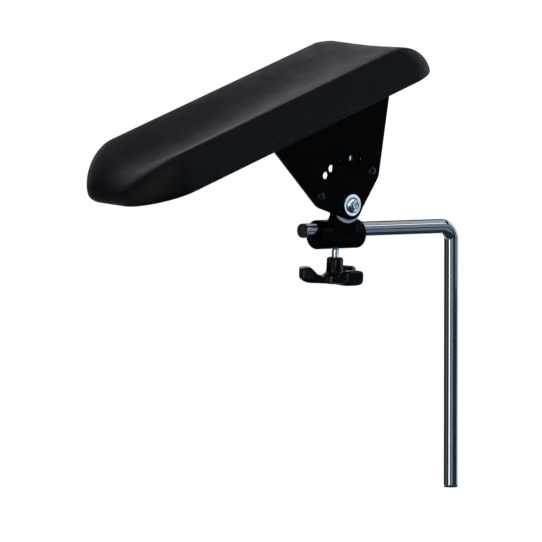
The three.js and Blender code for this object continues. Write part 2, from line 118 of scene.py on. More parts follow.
DISC_THICKNESS = 2
DISC_FRONT = LUG_FRONT - GAP - DISC_THICKNESS
SHEET = 2.5
WEB_BACK = DISC_FRONT - GAP
WEB_FRONT = WEB_BACK - SHEET
FLANGE_TOP = 86.5
FLANGE_BOTTOM = FLANGE_TOP - SHEET
FLANGE_WIDTH = 45.5
BEND_INSIDE = 2.5
FOOT_RADIUS = 13
WEB_TOP_HALF = 73
WEB_SHOULDER = (37, 12)
WEB_CORNER = 4
STOP_OFFSET = (30.7, 19.4)
STOP_NECK, STOP_PIN = 2, 2.4
SCREW_HOLE = 3.2
MIDDLE_W = WEB_FRONT + FLANGE_WIDTH / 2
SCREWS = [(u, MIDDLE_W + w) for u in (-50, 50) for w in (-12, 12)]

PAD_MIDDLE_U = -67.3
PAD_BOTTOM = FLANGE_TOP + 0.3
BOARD_LENGTH, BOARD_WIDTH, BOARD_THICKNESS, BOARD_CORNER = 274, 84, 9, 20

# Fasteners: radii of hole and shank, thread pitch, hexagon across flats, washer thickness.
HOLE_M8, SHANK_M8, PITCH_M8, HEXAGON_M8, WASHER_M8 = 4.18, 4, 1.25, 13, 1.6
HOLE_M6, SHANK_M6, PITCH_M6, HEXAGON_M6, WASHER_M6 = 3.18, 3, 1.0, 10, 1.4


# -------- materials
class Look:
    """A procedural material, with its pattern fixed to the piece."""

    def __init__(self, name, roughness, metallic=0.0, turn=(0, 0, 0)):
        self.material = bpy.data.materials.new(name)
        self.material.use_nodes = True
        self.nodes = self.material.node_tree.nodes
        self.links = self.material.node_tree.links
        self.shader = self.nodes["Principled BSDF"]
        self.shader.inputs["Roughness"].default_value = roughness
        self.shader.inputs["Metallic"].default_value = metallic
        mapping = self.add("ShaderNodeMapping", Vector=self.add("ShaderNodeTexCoord").outputs["Object"])
        mapping.inputs["Rotation"].default_value = turn
        self.place = mapping.outputs["Vector"]
        self.relief = None

    def add(self, kind, **inputs):
        node = self.nodes.new(kind)
        for name, value in inputs.items():
            self.put(node.inputs[name.replace("_", " ")], value)
        return node

    def put(self, socket, value):
        if isinstance(value, bpy.types.NodeSocket):
            self.links.new(value, socket)
        else:
            socket.default_value = value

    def stretched(self, scale):
        mapping = self.add("ShaderNodeMapping", Vector=self.place)
        mapping.inputs["Scale"].default_value = scale
        return mapping.outputs["Vector"]

    def noise(self, scale, detail=3.0, stretch=None, distortion=0.0):
        place = self.stretched(stretch) if stretch else self.place
        node = self.add("ShaderNodeTexNoise", Vector=place, Scale=scale, Detail=detail)
        node.inputs["Distortion"].default_value = distortion
        return node.outputs["Fac"]

    def cells(self, scale, warp):
        """Distance to the edge of the nearest cell, the cells shifted about by a warp."""
        swirl = self.add("ShaderNodeTexNoise", Vector=self.place, Scale=scale * 0.6)
        offset = self.add("ShaderNodeVectorMath")
        offset.operation = "MULTIPLY_ADD"
        self.put(offset.inputs[0], swirl.outputs["Color"])
        offset.inputs[1].default_value = (warp, warp, warp)
        self.put(offset.inputs[2], self.place)
        node = self.add("ShaderNodeTexVoronoi", Vector=offset.outputs["Vector"], Scale=scale)
        node.feature = "DISTANCE_TO_EDGE"
        return node.outputs["Distance"]

    def ramp(self, value, *stops):
        node = self.add("ShaderNodeValToRGB", Fac=value)
        elements = node.color_ramp.elements
        while len(elements) < len(stops):
            elements.new(0.5)
        for element, (position, colour) in zip(elements, stops):
            element.position = position
            grey = isinstance(colour, (int, float))
            element.color = (colour, colour, colour, 1) if grey else (*colour, 1)
        return node.outputs["Color"]

    def mixed(self, factor, first, second, blend="MIX"):
        node = self.add("ShaderNodeMix")
        node.data_type = "RGBA"
        node.blend_type = blend
        self.put(node.inputs[0], factor)
        for socket, value in ((node.inputs[6], first), (node.inputs[7], second)):
            self.put(socket, (*value, 1) if isinstance(value, tuple) else value)
        return node.outputs[2]

    def colour(self, value):
        self.put(self.shader.inputs["Base Color"], value)

    def roughness(self, pattern, *stops):
        self.put(self.shader.inputs["Roughness"], self.ramp(pattern, *stops))

    def bump(self, height, strength, distance):
        node = self.add("ShaderNodeBump", Height=height, Strength=strength, Distance=distance)
        if self.relief:
            self.put(node.inputs["Normal"], self.relief)
        self.relief = node.outputs["Normal"]
        self.put(self.shader.inputs["Normal"], self.relief)

    def worn_edges(self, colour, base):
        """Lighter where the coating thins on convex edges."""
        pointed = self.add("ShaderNodeNewGeometry").outputs["Pointiness"]
        edge = self.ramp(pointed, (0.53, 0.0), (0.6, 0.7))
        patchy = self.mixed(self.noise(240, 4), (0, 0, 0), edge)
        return self.mixed(patchy, base, colour)


def pad_skin():
    """Moulded foam skin: fine pores, a soft leather grain and a faint sheen."""
    look = Look("pad_skin", 0.45)
    cloud = look.noise(14, 4)
    tone = look.ramp(cloud, (0.3, (0.0038, 0.0039, 0.0056)), (0.7, (0.006, 0.0061, 0.0085)))
    pores = look.ramp(look.cells(430, warp=0.0012), (0.0, 0.0), (0.2, 1.0))
    look.colour(look.mixed(pores, (0.0022, 0.0023, 0.0034), tone))
    look.roughness(look.noise(60, 5), (0.3, 0.4), (0.7, 0.5))
    look.bump(pores, 0.5, 0.00022)
    look.bump(look.noise(620, 4), 1.0, 0.0009)
    look.bump(look.noise(2600, 3), 0.25, 0.00006)
    look.bump(look.noise(38, 2), 0.2, 0.0004)
    look.shader.inputs["Specular IOR Level"].default_value = 0.4
    look.shader.inputs["Sheen Weight"].default_value = 0.02
    look.shader.inputs["Sheen Roughness"].default_value = 0.4
    look.shader.inputs["Sheen Tint"].default_value = (0.8, 0.85, 1, 1)
    return look.material


def black_paint():
    """Powder coat with orange peel, worn along its edges."""
    look = Look("black_paint", 0.3)
    cloud = look.noise(30, 4)
    base = look.ramp(cloud, (0.3, (0.0009, 0.0011, 0.002)), (0.7, (0.0019, 0.0021, 0.0034)))
    look.colour(look.worn_edges((0.02, 0.021, 0.025), base))
    look.roughness(look.noise(120, 5), (0.35, 0.26), (0.7, 0.4))
    look.bump(look.noise(900, 3), 0.35, 0.00005)
    look.bump(look.noise(3200, 2), 0.15, 0.00002)
    look.shader.inputs["Specular IOR Level"].default_value = 0.1
    return look.material


def black_oxide():
    look = Look("black_oxide", 0.35, 1.0)
    cloud = look.noise(300, 4)
    look.colour(look.ramp(cloud, (0.35, (0.03, 0.032, 0.04)), (0.75, (0.13, 0.13, 0.145))))
    look.roughness(look.noise(600, 4), (0.3, 0.28), (0.75, 0.5))
    look.bump(look.noise(1500, 3), 0.3, 0.00005)
    return look.material


def zinc():
    look = Look("zinc_plate", 0.3, 1.0)
    tints = (0.25, (0.66, 0.74, 0.84)), (0.55, (0.76, 0.84, 0.92)), (0.8, (0.84, 0.87, 0.87))
    look.colour(look.ramp(look.noise(160, 4, distortion=0.5), *tints))
    look.roughness(look.noise(420, 5), (0.3, 0.2), (0.75, 0.4))
    look.bump(look.noise(1500, 3, stretch=(1, 1, 0.25)), 0.2, 0.00003)
    return look.material


def chrome():
    look = Look("chromed_tube", 0.06, 1.0)
    haze = look.noise(45, 5, distortion=0.8)
    look.colour(look.ramp(haze, (0.3, (0.72, 0.75, 0.79)), (0.75, (0.79, 0.82, 0.85))))
    rubbed = look.noise(350, 6, stretch=(1, 1, 0.06))
    look.roughness(rubbed, (0.35, 0.04), (0.8, 0.13))
    look.bump(rubbed, 0.06, 0.00002)
    look.bump(look.noise(24, 2), 0.05, 0.0002)
    return look.material


def plastic(name, colour, lighter, roughness, grain):
    look = Look(name, roughness)
    look.colour(look.ramp(look.noise(80, 4), (0.3, colour), (0.75, lighter)))
    look.roughness(look.noise(260, 5), (0.3, roughness - 0.06), (0.75, roughness + 0.1))
    look.bump(look.noise(2200, 3), grain, 0.00005)
    look.bump(look.noise(70, 2), 0.2, 0.0002)
    return look.material


def nylon():
    look = Look("nylon", 0.5)
    look.colour(look.ramp(look.noise(200, 4), (0.3, (0.68, 0.65, 0.74)), (0.75, (0.78, 0.75, 0.83))))
    look.roughness(look.noise(500, 4), (0.3, 0.42), (0.75, 0.58))
    look.bump(look.noise(1400, 3), 0.2, 0.00004)
    look.shader.inputs["Subsurface Weight"].default_value = 0.15
    look.shader.inputs["Subsurface Radius"].default_value = (0.001, 0.001, 0.001)
    return look.material


def brass():
    look = Look("brass", 0.3, 1.0)
    look.colour(look.ramp(look.noise(200, 4), (0.3, (0.52, 0.36, 0.13)), (0.75, (0.66, 0.5, 0.24))))
    look.roughness(look.noise(700, 4), (0.3, 0.22), (0.75, 0.42))
    look.bump(look.noise(1800, 2, stretch=(1, 1, 4)), 0.2, 0.00003)
    return look.material


def plywood():
    look = Look("plywood", 0.75, turn=(-math.radians(4), TILT, 0))
    grain = look.noise(90, 8, stretch=(0.12, 1.6, 1.6), distortion=0.6)
    tints = (0.3, (0.24, 0.14, 0.06)), (0.5, (0.4, 0.26, 0.13)), (0.75, (0.52, 0.37, 0.2))
    wood = look.ramp(grain, *tints)
    layers = look.add("ShaderNodeTexWave", Vector=look.place, Scale=220.0, Distortion=1.0)
    layers.bands_direction = "Z"
    sides = look.ramp(layers.outputs["Fac"], (0.35, 0.55), (0.65, 1.0))
    look.colour(look.mixed(0.7, wood, sides, "MULTIPLY"))
    look.roughness(grain, (0.3, 0.68), (0.75, 0.85))
    look.bump(grain, 0.4, 0.0003)
    return look.material


SKIN = pad_skin()
PAINT = black_paint()
OXIDE = black_oxide()
ZINC = zinc()
CHROME = chrome()
PLUG = plastic("plug_plastic", (0.05, 0.048, 0.05), (0.085, 0.08, 0.08), 0.55, 0.3)
KNOB = plastic("knob_plastic", (0.0025, 0.0028, 0.0035), (0.005, 0.0055, 0.0065), 0.26, 0.15)
NYLON = nylon()
BRASS = brass()
PLYWOOD = plywood()


# -------- mesh helpers
def soften(points, cut, steps=4, closed=False):
    """The corners of a polyline rounded, each cut back along its two edges."""
    points = [Vector(point) for point in points]
    count = len(points)
    made = []
    for index, corner in enumerate(points):
        if not closed and index in (0, count - 1):
            made.append(corner)
            continue
        before = points[index - 1]
        after = points[(index + 1) % count]
        reach_in = min(cut, (corner - before).length * 0.48)
        reach_out = min(cut, (corner - after).length * 0.48)
        start = corner + (before - corner).normalized() * reach_in
        end = corner + (after - corner).normalized() * reach_out
        for step in range(steps + 1):
            t = step / steps
            made.append(start * (1 - t) ** 2 + corner * 2 * t * (1 - t) + end * t * t)
    return made


def skin(bm, rings):
    """Quads between each ring of vertices and the next."""
    for low, high in zip(rings, rings[1:]):
        for side in range(len(low)):
            nxt = (side + 1) % len(low)
            bm.faces.new((low[side], low[nxt], high[nxt], high[side]))


def turned(profile, sides=96, closed=False, slit=0.0):
    """A surface of revolution about Z of (radius, height) points, open by an angle if slit."""
    bm = bmesh.new()
    columns = sides + 1 if slit else sides
    rings = []
    for radius, height in profile:
        if radius < 1e-6:
            rings.append([bm.verts.new((0, 0, height))] * columns)
            continue
        ring = []
        for column in range(columns):
            share = column / sides
            angle = slit / 2 + (2 * math.pi - slit) * share
            ring.append(bm.verts.new((radius * math.cos(angle), radius * math.sin(angle), height)))
        rings.append(ring)
    following = rings[1:] + rings[:1] if closed else rings[1:]
    last = columns - 1 if slit else columns
    for low, high in zip(rings, following):
        for column in range(last):
            nxt = (column + 1) % columns
            corners = [low[column], low[nxt], high[nxt], high[column]]
            unique = list(dict.fromkeys(corners))
            if len(unique) > 2:
                bm.faces.new(unique)
    if slit:
        bm.faces.new([ring[0] for ring in rings])
        bm.faces.new([ring[-1] for ring in reversed(rings)])
    return bm


def bar(radius, bottom, top, edge=0.0, steps=3, sides=64):
    """A solid cylinder about Z, its edges rounded if an edge is given."""
    profile = [(0, bottom), (radius, bottom), (radius, top), (0, top)]
    return turned(soften(profile, edge, steps) if edge else profile, sides)


def hollow_bar(inner, outer, bottom, top, edge=0.25, steps=3, sides=96, slit=0.0):
    """A ring about Z with rounded edges, open by an angle if slit."""
    profile = [(inner, bottom), (outer, bottom), (outer, top), (inner, top)]
    return turned(soften(profile, edge, steps, True), sides, True, slit)


def from_flat(angle):
    """Degrees from the middle of a hexagon's nearest flat to this direction."""
    return (math.degrees(angle) + 30) % 60 - 30


def hexagon(across, bottom, top, hole=0.0):
    """A nut blank about Z, turned off at both ends, or without a hole a screw's dished head."""
    bm = bmesh.new()
    sides, chamfer = 96, 0.5
    apothem = across / 2
    flat = apothem * 0.96
    slope = math.tan(math.radians(28))

    def corner(angle):
        local = from_flat(angle)
        return apothem / math.cos(math.radians(local)) * (1 - 0.018 * (abs(local) / 30) ** 12)

    def ring(level, radius=None, lean=0.0):
        """A round ring, or one that follows the hexagon and leans in its height."""
        made = []
        for side in range(sides):
            angle = 2 * math.pi * side / sides
            reach = radius or corner(angle)
            height = level + (reach - flat) * lean
            made.append(bm.verts.new((reach * math.cos(angle), reach * math.sin(angle), height)))
        return made

    if hole:
        rings = [ring(top - chamfer, hole), ring(top, hole + chamfer)]
    else:
        dish = ((0.25, 0.5), (0.18, 0.8), (0, 0.88))
        rings = [ring(top - depth, apothem * share) for depth, share in dish]
    rings += [ring(top, flat), ring(top, lean=-slope)]
    rings += [ring(bottom, lean=slope if hole else 0.0), ring(bottom, flat)]
    if hole:
        rings += [ring(bottom, hole + chamfer), ring(bottom + chamfer, hole)]
    skin(bm, rings)
    if hole:
        skin(bm, (rings[-1], rings[0]))
    else:
        bm.faces.new(rings[0])
        bm.faces.new(list(reversed(rings[-1])))
    return bm


def thread(radius, pitch, bottom, top):
    """A threaded shank about Z, pointed a little at both ends."""
    bm = bmesh.new()
    sides, depth = 48, 0.55 * pitch
    rows = int((top - bottom) / (pitch / 9))
    rings = []
    for row in range(rows + 1):
        height = bottom + (top - bottom) * row / rows
        end = min(height - bottom, top - height)
        ring = []
        for side in range(sides):
            turn = side / sides
            phase = (height / pitch - turn) % 1.0
            cut = max(0.0, 1 - abs(phase - 0.5) / 0.42)
            reach = radius - depth * min(cut, 0.92)
            reach = min(reach, radius - depth * 1.1 + end * 1.1)
            angle = 2 * math.pi * turn
            ring.append(bm.verts.new((reach * math.cos(angle), reach * math.sin(angle), height)))
        rings.append(ring)
    skin(bm, rings)
    bm.faces.new(list(reversed(rings[0])))
    bm.faces.new(rings[-1])
    return bm


def join(*meshes):
    """Several bmeshes as one, each possibly with a matrix in millimetres before it."""
    whole = bmesh.new()
    for part in meshes:
        matrix, bm = part if isinstance(part, tuple) else (Matrix.Identity(4), part)
        bmesh.ops.transform(bm, matrix=matrix, verts=bm.verts)
        mesh = bpy.data.meshes.new("part")
        bm.to_mesh(mesh)
        bm.free()
        whole.from_mesh(mesh)
        bpy.data.meshes.remove(mesh)
    return whole


def flat_sheet(outline, holes, thickness, edge):
    """A flat plate in X and Y about Z = 0, with rounded edges and holes."""
    curve = bpy.data.curves.new("outline", "CURVE")
    curve.dimensions = "2D"
    curve.fill_mode = "BOTH"
    curve.extrude = thickness / 2 - edge
    curve.bevel_depth = edge
    curve.bevel_resolution = 2
    curve.offset = -edge
    for loop in [outline, *holes]:
        spline = curve.splines.new("POLY")
        spline.points.add(len(loop) - 1)
        for point, place in zip(spline.points, loop):
            point.co = (place[0], place[1], 0, 1)
        spline.use_cyclic_u = True
    holder = bpy.data.objects.new("outline", curve)
    bpy.context.scene.collection.objects.link(holder)
    bpy.context.view_layer.update()
    mesh = bpy.data.meshes.new_from_object(holder)
    bm = bmesh.new()
    bm.from_mesh(mesh)
    bmesh.ops.remove_doubles(bm, verts=bm.verts, dist=1e-4)
    bpy.data.objects.remove(holder)
    bpy.data.curves.remove(curve)
    bpy.data.meshes.remove(mesh)
    return bm


def circle(x, y, radius, sides=48):
    turns = [2 * math.pi * side / sides for side in range(sides)]
    return [(x + radius * math.cos(t), y + radius * math.sin(t)) for t in turns]


def as_object(name, bm):
    mesh = bpy.data.meshes.new(name)
    bmesh.ops.recalc_face_normals(bm, faces=bm.faces)
    bm.to_mesh(mesh)
    bm.free()
    made = bpy.data.objects.new(name, mesh)
    bpy.context.scene.collection.objects.link(made)
    return made


def piece(name, bm, place, look, body, slot, *nodes, sharp=38):
    """A finished piece: built in millimetres about its own axes, then set in the row frame."""
    bmesh.ops.transform(bm, matrix=place @ MM, verts=bm.verts)
    made = as_object(name, bm)
    mesh = made.data
    mesh.shade_smooth()
    mesh.set_sharp_from_angle(angle=math.radians(sharp))
    mesh.materials.append(look)
    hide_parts(*nodes)
    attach(made, body)
    return made


def zinc_piece(name, bm, place, body, node):
    return piece(name, bm, place, ZINC, body, "zinc_plate", node)


def apply_modifiers(made):
    bpy.context.view_layer.update()
    graph = bpy.context.evaluated_depsgraph_get()
    mesh = bpy.data.meshes.new_from_object(made.evaluated_get(graph))
    old = made.data
    made.modifiers.clear()
    made.data = mesh
    bpy.data.meshes.remove(old)


def fused(bm, smooth_steps, cutters):
    """Overlapping closed shapes grown into one skin, its edges eased, then cut."""
    made = as_object("fused", bm)
    remesh = made.modifiers.new("remesh", "REMESH")
    remesh.mode = "VOXEL"
    remesh.voxel_size = 0.4
    remesh.adaptivity = 0.0
    ease = made.modifiers.new("ease", "SMOOTH")
    ease.factor = 0.5
    ease.iterations = smooth_steps
    apply_modifiers(made)
    tools = []
    for index, cutter in enumerate(cutters):
        tool = as_object(f"cutter_{index}", cutter)
        tools.append(tool)
        cut = made.modifiers.new("cut", "BOOLEAN")
        cut.operation = "DIFFERENCE"
        cut.solver = "EXACT"
        cut.object = tool
    apply_modifiers(made)
    result = bmesh.new()
    result.from_mesh(made.data)
    for used in [made, *tools]:
        mesh = used.data
        bpy.data.objects.remove(used)
        bpy.data.meshes.remove(mesh)
    return result


# -------- tube and plugs
def tube_stations():
    """Centres up the leg, round the bend and along the arm, each with its outward side."""
    start = PLUG_CAP + GAP
    corner_z = LEG_HEIGHT - BEND_RADIUS
    leg_steps, bend_steps, arm_steps = 12, 28, 10
    stations = []
    for step in range(leg_steps + 1):
        z = start + (corner_z - start) * step / leg_steps
        stations.append((Vector((0, 0, z)), Vector((1, 0, 0))))
    for step in range(1, bend_steps):
        angle = math.pi / 2 * step / bend_steps
        out = Vector((math.cos(angle), 0, math.sin(angle)))
        stations.append((Vector((-BEND_RADIUS, 0, corner_z)) + out * BEND_RADIUS, out))
    for step in range(arm_steps + 1):
        x = -BEND_RADIUS - (ARM_LENGTH - BEND_RADIUS - start) * step / arm_steps
        stations.append((Vector((x, 0, LEG_HEIGHT)), Vector((0, 0, 1))))
    return stations


def bent_tube():
    """The tube's outside and bore, with rounded edges at both ends."""
    stations = tube_stations()
    sides = 72
    bm = bmesh.new()
    ends = (0, len(stations) - 1)

    def ring(centre, out, radius):
        made = []
        for side in range(sides):
            angle = 2 * math.pi * side / sides
            offset = out * math.cos(angle) + Vector((0, 1, 0)) * math.sin(angle)
            made.append(bm.verts.new(centre + offset * radius))
        return made

    outer, inner = [], []
    edge = 0.45
    for index, (centre, out) in enumerate(stations):
        rims = []
        if index in ends:
            inward = Vector((0, 0, 1)) if index == 0 else Vector((1, 0, 0))
            for turn in (0, 22.5, 45, 67.5, 90):
                sweep = math.radians(turn)
                radius = ROD_RADIUS - edge * (1 - math.sin(sweep))
                depth = edge * (1 - math.cos(sweep))
                rims.append(ring(centre + inward * depth, out, radius))
            rims.append(ring(centre + inward * (edge + 0.4), out, ROD_RADIUS))
        else:
            rims.append(ring(centre, out, ROD_RADIUS))
        outer += rims if index == 0 else rims[::-1]
        inner.append(ring(centre, out, ROD_BORE))
    for rings in (outer, inner, (outer[0], inner[0]), (outer[-1], inner[-1])):
        skin(bm, rings)
    return bm


piece("tube", bent_tube(), ROW, CHROME, "rod", "chromed_tube", "support_rod", sharp=50)


def end_plug():
    """A cap with a shallow dish in its face and barbs on its stem."""
    face = [(0, 0.35), (3.2, 0.35), (3.9, 0), (ROD_RADIUS - 0.2, 0)]
    side = [(ROD_RADIUS - 0.2, PLUG_CAP), (4.1, PLUG_CAP)]
    barbs = [(3.8, 3), (4.1, 3.4), (3.8, 5), (4.1, 5.4), (3.8, 7), (4.1, 7.4)]
    tip = [(3.6, 10.2), (0, 10.2)]
    return turned(soften(face + side + barbs + tip, 0.3, 3), 64)


piece("foot_plug", end_plug(), ROW, PLUG, "rod", "plug_plastic", "rod_foot_plug")
ARM_END = at(-ARM_LENGTH, 0, LEG_HEIGHT) @ TO_X
piece("arm_plug", end_plug(), ARM_END, PLUG, "rod", "plug_plastic", "rod_arm_plug")


# -------- clamp
def arc(x, y, radius, start, end, steps):
    """Points on an arc, angles in radians."""
    turns = [start + (end - start) * step / steps for step in range(steps + 1)]
    return [(x + radius * math.cos(t), y + radius * math.sin(t)) for t in turns]


def lug_outline():
    """The lug seen from the front: straight sides and a rounded top."""
    top = LOCK_Z + LUG_ABOVE_LOCK - LUG_CORNER
    turn = LUG_HALF_WIDTH - LUG_CORNER
    right = [(LUG_HALF_WIDTH, -SLEEVE_DROP)]
    right += arc(turn, top, LUG_CORNER, 0, math.pi / 2, 16)
    return right + [(-x, y) for x, y in reversed(right)]


def foot_outline():
    """The flared foot behind the lug."""
    flare = 6.5
    foot = SLEEVE_RADIUS - SLEEVE_DROP - 0.5
    right = [(LUG_HALF_WIDTH + flare, foot - 4), (LUG_HALF_WIDTH + flare, foot)]
    right += arc(LUG_HALF_WIDTH + flare, foot + flare, flare, 1.5 * math.pi, math.pi, 12)
    right.append((LUG_HALF_WIDTH - 2, foot + flare + 2))
    return right + [(-x, y) for x, y in reversed(right)]


def clamp_casting():
    """Sleeve, lug and foot grown into one casting, then bored."""
    half, edge, foot_thickness = SLEEVE_HALF, 0.8, 5
    sleeve = bar(SLEEVE_RADIUS, -half, half, 2 * edge, 6, 128)
    lug = flat_sheet(lug_outline(), [], LUG_BACK - LUG_FRONT, edge)
    foot = flat_sheet(foot_outline(), [], foot_thickness, edge)
    stand = Matrix.Translation((0, (LUG_BACK + LUG_FRONT) / 2, 0)) @ TO_BACK
    behind = Matrix.Translation((0, LUG_BACK - foot_thickness / 2, 0)) @ TO_BACK
    drop = Matrix.Translation((0, 0, -SLEEVE_DROP)) @ TO_X
    shell = join((drop, sleeve), (stand, lug), (behind, foot))

    def drill(radius, start, end, chamfer):
        mouth = radius + chamfer
        near = [(0, start - 2), (mouth + 2, start - 2), (mouth, start), (radius, start + chamfer)]
        far = [(radius, end - chamfer), (mouth, end), (mouth + 2, end + 2), (0, end + 2)]
        return turned(near + far, 96)

    bore = drill(SLEEVE_BORE, -half, half, 0.7)
    bmesh.ops.transform(bore, matrix=TO_X, verts=bore.verts)
    cuts = [bore]
    for radius, x, z in ((HOLE_M8, 0, PIVOT_HEIGHT), (HOLE_M6, LOCK_X, LOCK_Z)):
        hole = drill(radius, LUG_FRONT, LUG_BACK, 0.4)
        spot = Matrix.Translation((x, 0, z)) @ TO_Y
        bmesh.ops.transform(hole, matrix=spot, verts=hole.verts)
        cuts.append(hole)
    countersink = [(0, -17.5), (4.2, -17.5), (HOLE_M6, -16.1)]
    cuts.append(turned(countersink + [(HOLE_M6, -3), (0, -3)], 64))
    return fused(shell, 5, cuts)


piece("clamp_casting", clamp_casting(), CLAMP, PAINT, "clamp", "black_paint", "clamp_body", sharp=32)


def liner():
    """A thin ring the length of the bore, split along one side."""
    half = SLEEVE_HALF - 4
    inner, outer, slit = 6.45, 6.95, 2
    return hollow_bar(inner, outer, -half, half, 0.12, 2, slit=slit * 2 / (inner + outer))


LINER_TURN = CLAMP @ TO_X @ Matrix.Rotation(math.pi, 4, "Z")
piece("split_liner", liner(), LINER_TURN, NYLON, "slider", "nylon", "sleeve_liner")


LOCK = CLAMP @ at(LOCK_X, 0, LOCK_Z)
WASHER_FRONT = WEB_FRONT - GAP - WASHER_M8
HEAD_BACK = WASHER_FRONT - GAP
NUT_FACE = LUG_BACK + GAP + WASHER_M8 + GAP

DISC_PLACE = PIVOT @ at(0, DISC_FRONT, 0) @ TO_Y
disc = hollow_bar(HOLE_M8, 16, 0, DISC_THICKNESS, 0.4)
piece("friction_disc", disc, DISC_PLACE, NYLON, "clamp", "nylon", "pivot_friction_disc")
for side, radius, edge, y in (("front", 9.5, 0.35, WASHER_FRONT), ("back", 8, 0.3, LUG_BACK + GAP)):
    ring = hollow_bar(HOLE_M8, radius, 0, WASHER_M8, edge)
    zinc_piece(f"{side}_washer", ring, PIVOT @ at(0, y, 0) @ TO_Y, "clamp", f"pivot_washer_{side}")


def hexagonal(bm, reach, top, across):
    """The round bore inside a reach and above a height grown into a hexagon socket."""
    for vert in bm.verts:
        x, y, z = vert.co
        radius = math.hypot(x, y)
        if 0.01 < radius < reach and z > top:
            local = from_flat(math.atan2(y, x))
            grow = across / 2 / radius / math.cos(math.radians(local))
            vert.co.x, vert.co.y = x * grow, y * grow
    return bm


def pivot_bolt():
    """Button head at the front, plain neck, thread where the nut is; drawn along -Y as Z."""
    radius, height, socket, neck_end, tip = 7, 4.4, 5, -17.4, -27.5
    turns = [step * math.pi / 40 for step in range(15)]
    dome = [(radius * math.cos(t), height * math.sin(t)) for t in turns]
    face = [(3.3, height), (socket / 2, 4.1), (socket / 2, 1.7), (2.3, 1.5), (0, 1.2)]
    under = [(0, -0.1), (radius - 0.5, -0.1), (radius - 0.1, 0.0)]
    head = hexagonal(turned(under + dome + face, 144), 2.7, 1.4, socket)
    neck = bar(SHANK_M8, 0.5, neck_end)
    return join(head, neck, thread(SHANK_M8, PITCH_M8, tip, neck_end + 0.4))


HEAD_PLACE = PIVOT @ at(0, HEAD_BACK, 0) @ TO_BACK
zinc_piece("pivot_button_bolt", pivot_bolt(), HEAD_PLACE, "clamp", "pivot_bolt")


def lock_nut():
    """A hexagon with the raised crown that holds a nylon insert."""
    dome = [(4.9, 5.4), (6.1, 5.4), (6.1, 6.6), (5.6, 7.9), (4.9, 8.0)]
    crown = turned(soften(dome, 0.4, 4, True), 96, closed=True)
    return join(hexagon(HEXAGON_M8, 0, 5.9, hole=4.2), crown)


NUT_PLACE = PIVOT @ at(0, NUT_FACE, 0) @ TO_Y
zinc_piece("pivot_nut", lock_nut(), NUT_PLACE, "clamp", "pivot_lock_nut")
insert = hollow_bar(4.1, 4.85, 5.6, 7.6, 0.2, 2, 64)
piece("pivot_nut_insert", insert, NUT_PLACE, NYLON, "clamp", "nylon")

LOCK_WASHER = LUG_BACK + LOCK_TRAVEL + GAP
LOCK_HEAD = LOCK_WASHER + WASHER_M6 + GAP
ring = hollow_bar(HOLE_M6, 5.5, 0, WASHER_M6)
WASHER_PLACE = LOCK @ at(0, LOCK_WASHER, 0) @ TO_Y
zinc_piece("lock_washer_ring", ring, WASHER_PLACE, "lock_washer", "lock_screw_washer")


def lock_screw():
    """Head at the back; the tip is a turned dog point, drawn along +Y as Z."""
    head_height, collar_radius, dog_radius, dog_length = 4, 4.6, 2.75, 3.6
    tip = WEB_BACK + 0.3  # just behind the web
    head = hexagon(HEXAGON_M6, LOCK_HEAD, LOCK_HEAD + head_height)
    collar = bar(collar_radius, LOCK_HEAD - 0.1, LOCK_HEAD + 0.3)
    screw = thread(SHANK_M6, PITCH_M6, tip + dog_length - 0.4, LOCK_HEAD + 0.2)
    dog = bar(dog_radius, tip, tip + dog_length, 0.45, 4)
    return join(head, collar, screw, dog)


zinc_piece("lock_hex_screw", lock_screw(), LOCK @ TO_Y, "lock_screw", "lock_screw")


# -------- knob
KNOB_TOP = -23.9
KNOB_BOTTOM = -46.8
KNOB_REACH = 30
KNOB_ARMS = 3
KNOB_FIRST_ARM = 27  # degrees from +X
KNOB_RIBS = 12
STUD_TOP = -10.85
STUD_SHOULDER = -17.2


def knob_arm():
    """A fat arm lofted outwards, dished on top between hub and raised tip."""
    bm = bmesh.new()
    rows, around = 30, 40
    buried, tip_round, tip_size, squareness = 2, 3.5, 0.72, 0.4
    rings = []
    for row in range(rows + 1):
        share = row / rows
        along = -buried + (KNOB_REACH + buried) * math.sin(share * math.pi / 2) ** 0.85
        to_tip = min(1.0, (KNOB_REACH - along) / tip_round)
        close = tip_size + (1 - tip_size) * math.sqrt(max(0.0, 1 - (1 - to_tip) ** 2))
        half_width = (7.0 + 2.6 * min(1.0, max(0.0, along) / 20)) * close
        rise = min(1.0, max(0.0, (along - 12) / 11))
        dip = max(0.0, 1 - max(0.0, along) / 12)
        top = KNOB_BOTTOM + 6.6 + 7.2 * rise * rise * (3 - 2 * rise) + 4.5 * dip * dip
        bottom = KNOB_BOTTOM + 0.03 * max(0.0, along - 21) ** 2
        middle = (top + bottom) / 2
        half_height = (top - bottom) / 2 * close
        ring = []
        for step in range(around):
            angle = 2 * math.pi * step / around
            c, s = math.cos(angle), math.sin(angle)
            y = half_width * math.copysign(abs(c) ** squareness, c)
            z = middle + half_height * math.copysign(abs(s) ** squareness, s)
            ring.append(bm.verts.new((along, y, z)))
        rings.append(ring)
    skin(bm, rings)
    bm.faces.new(rings[0])
    bm.faces.new(list(reversed(rings[-1])))
    return bm


